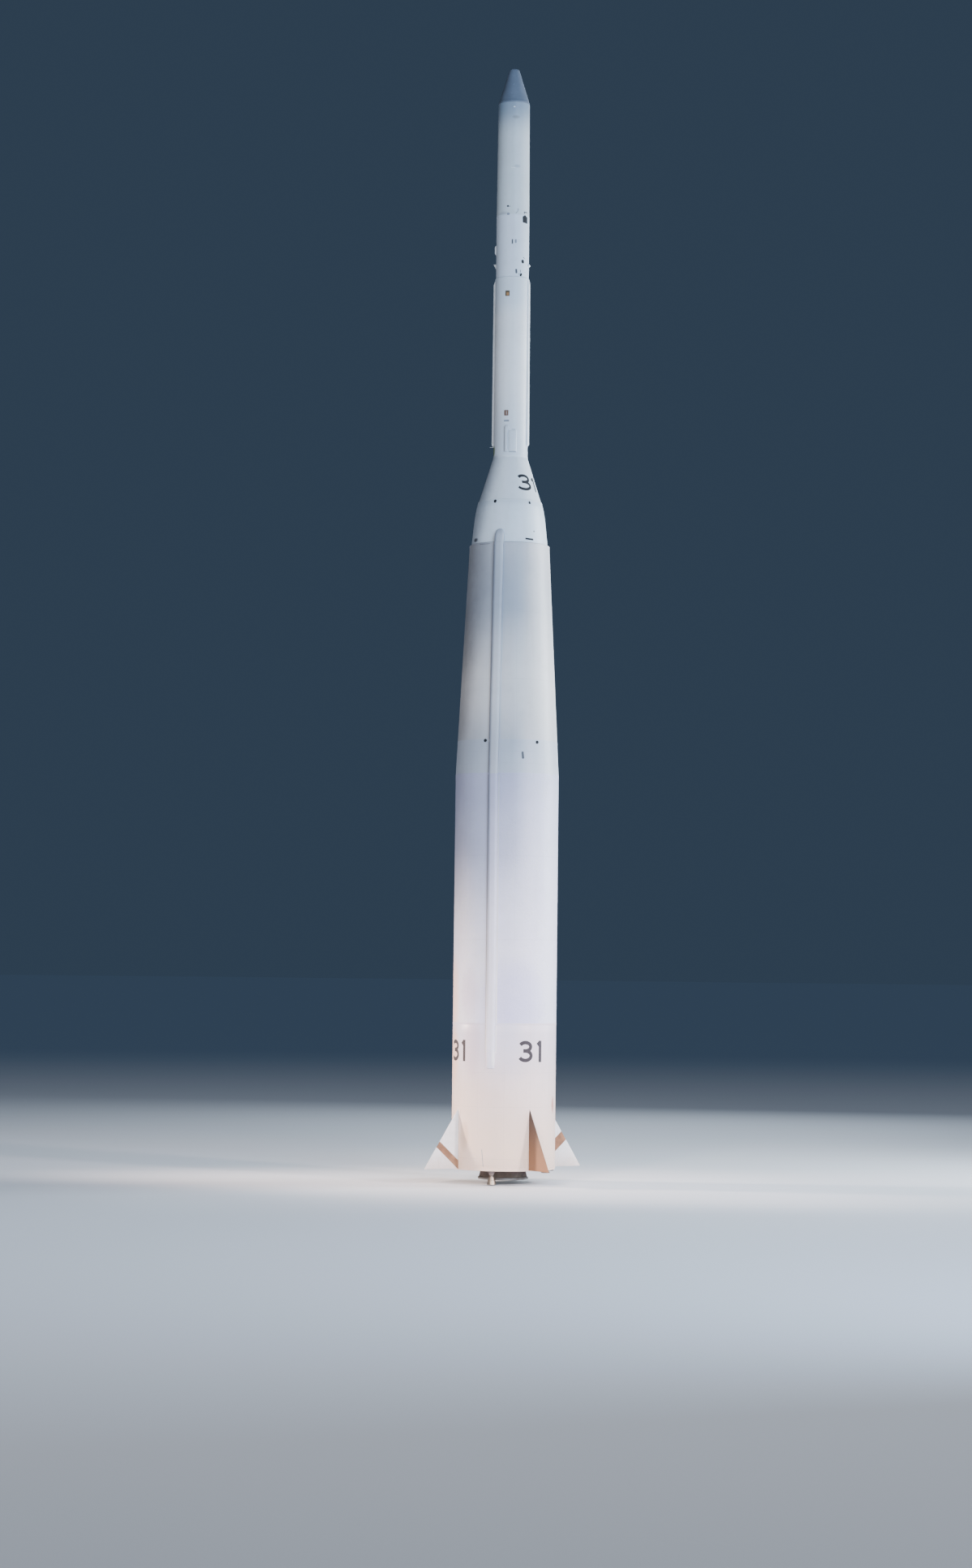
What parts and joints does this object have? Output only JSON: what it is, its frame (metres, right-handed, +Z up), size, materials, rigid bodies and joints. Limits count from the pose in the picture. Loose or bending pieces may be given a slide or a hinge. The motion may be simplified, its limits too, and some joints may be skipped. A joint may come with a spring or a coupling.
{
  "type": "space rocket",
  "caption": "Liquid-fuel space rocket with a slim upper stage on a conical adapter, tapered tank, side cable tunnels, triangular fins and gimballed engines.",
  "frame": {"origin": "centre of the lower face of the front launch pad, under the cable tunnel on the -Y side; the rocket's own axis stands 1.18 m from it towards +Y", "axes": "+Z up along the rocket to its nose; -Y towards the front cable tunnel; +X to the right of someone looking at that tunnel"},
  "size_m": [2.9854, 2.9854, 26.55],
  "materials": {
    "white_paint": "semi-gloss white enamel over aluminium skin, weathered",
    "grey_paint": "satin grey paint over aluminium skin",
    "slate_paint": "matte slate-blue heat-resistant paint",
    "black_paint": "matte black paint",
    "bare_steel": "heat-tinted bare steel",
    "dark_steel": "sooted dark steel",
    "tag_paint": "orange-brown primer"
  },
  "bodies": {
    "airframe": {"payload_section": "white_paint", "instrument_section": "white_paint", "second_stage_tank": "white_paint", "adapter_cone": "white_paint", "fuel_tank": "white_paint", "oxidiser_tank": "white_paint", "engine_section": "white_paint", "fin_back_right": "white_paint", "fin_front_left": "white_paint", "conduit_right": "white_paint", "conduit_left": "white_paint", "drain_pipe": "white_paint", "access_box": "white_paint", "side_blister": "white_paint", "base_ring": "white_paint", "guidance_section": "grey_paint", "centre_body": "grey_paint", "tunnel_lower_front": "grey_paint", "tunnel_lower_back": "grey_paint", "tunnel_upper_front": "grey_paint", "tunnel_upper_back": "grey_paint", "tunnel_nose_front": "grey_paint", "tunnel_nose_back": "grey_paint", "nose_cone": "slate_paint", "fin_front_right": "black_paint", "fin_back_left": "black_paint", "antenna_wedge_right": "bare_steel", "antenna_wedge_left": "bare_steel", "thrust_frame": "bare_steel", "exhaust_duct": "bare_steel", "turbopump_block": "bare_steel", "launch_pad_front": "dark_steel", "launch_pad_right": "dark_steel", "launch_pad_back": "dark_steel", "launch_pad_left": "dark_steel", "heat_shield": "dark_steel", "vernier_bracket_front": "dark_steel", "vernier_bracket_back": "dark_steel", "tag_plate_lower": "tag_paint", "tag_plate_upper": "tag_paint"},
    "gimbal_cross": {"gimbal_cross": "bare_steel"},
    "main_engine": {"main_engine": "bare_steel"},
    "vernier_front": {"vernier_engine_front": "bare_steel"},
    "vernier_back": {"vernier_engine_back": "bare_steel"}
  },
  "joints": [
    {"name": "engine_pitch", "type": "hinge", "parent": "airframe", "child": "gimbal_cross", "pos_m": [0, 1.18, 2.15], "axis": [1, 0, 0], "range_deg": [-7, 7]},
    {"name": "engine_yaw", "type": "hinge", "parent": "gimbal_cross", "child": "main_engine", "pos_m": [0, 1.18, 2.15], "axis": [0, 1, 0], "range_deg": [-7, 7]},
    {"name": "vernier_front_swing", "type": "hinge", "parent": "airframe", "child": "vernier_front", "pos_m": [0, 0.16, 0.23], "axis": [0, 1, 0], "range_deg": [-35, 35]},
    {"name": "vernier_back_swing", "type": "hinge", "parent": "airframe", "child": "vernier_back", "pos_m": [0, 2.2, 0.23], "axis": [0, 1, 0], "range_deg": [-35, 35]}
  ]
}
